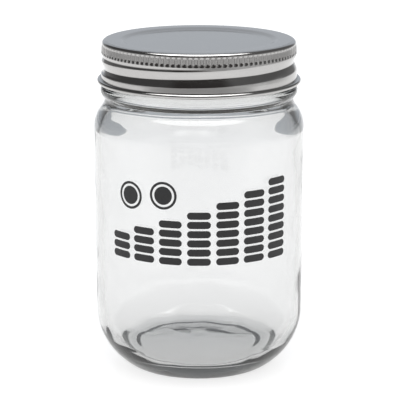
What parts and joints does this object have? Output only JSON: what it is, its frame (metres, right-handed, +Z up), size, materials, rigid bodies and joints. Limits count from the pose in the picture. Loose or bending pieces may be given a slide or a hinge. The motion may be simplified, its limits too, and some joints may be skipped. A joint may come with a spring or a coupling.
{
  "type": "coin bank jar",
  "caption": "Clear glass jar with a rounded heel and shoulder, a printed front and a one-piece knurled metal screw lid that unscrews and lifts off.",
  "frame": {"origin": "centre of the glass ring the jar stands on, on the jar's axis, at table height", "axes": "+Z up along the jar's axis, -Y towards the printed front, +X to the right seen from the front"},
  "size_m": [0.077, 0.0773, 0.121],
  "materials": {
    "clear_glass": "clear flint glass, gloss",
    "tinplate": "rolled silver tinplate, satin",
    "sealing_compound": "flowed-in soft vinyl, matt",
    "print_ink": "screen-printed charcoal ink, satin"
  },
  "bodies": {
    "jar": {"glass_jar": "clear_glass", "front_print": "print_ink"},
    "sealing_ring": {"lid_sealing_ring": "sealing_compound"},
    "lid": {"lid_shell": "tinplate"}
  },
  "joints": [
    {"name": "lid_lift", "type": "slide", "parent": "jar", "child": "sealing_ring", "axis": [0, 0, 1], "range_m": [0, 0.0166]},
    {"name": "lid_turn", "type": "hinge", "parent": "sealing_ring", "child": "lid", "pos_m": [0, 0, 0.113], "axis": [0, 0, 1], "range_deg": [0, 1080]}
  ],
  "couplings": [
    {"joint": "lid_lift", "follows": "lid_turn", "m_per_rad": 0.00087535}
  ]
}
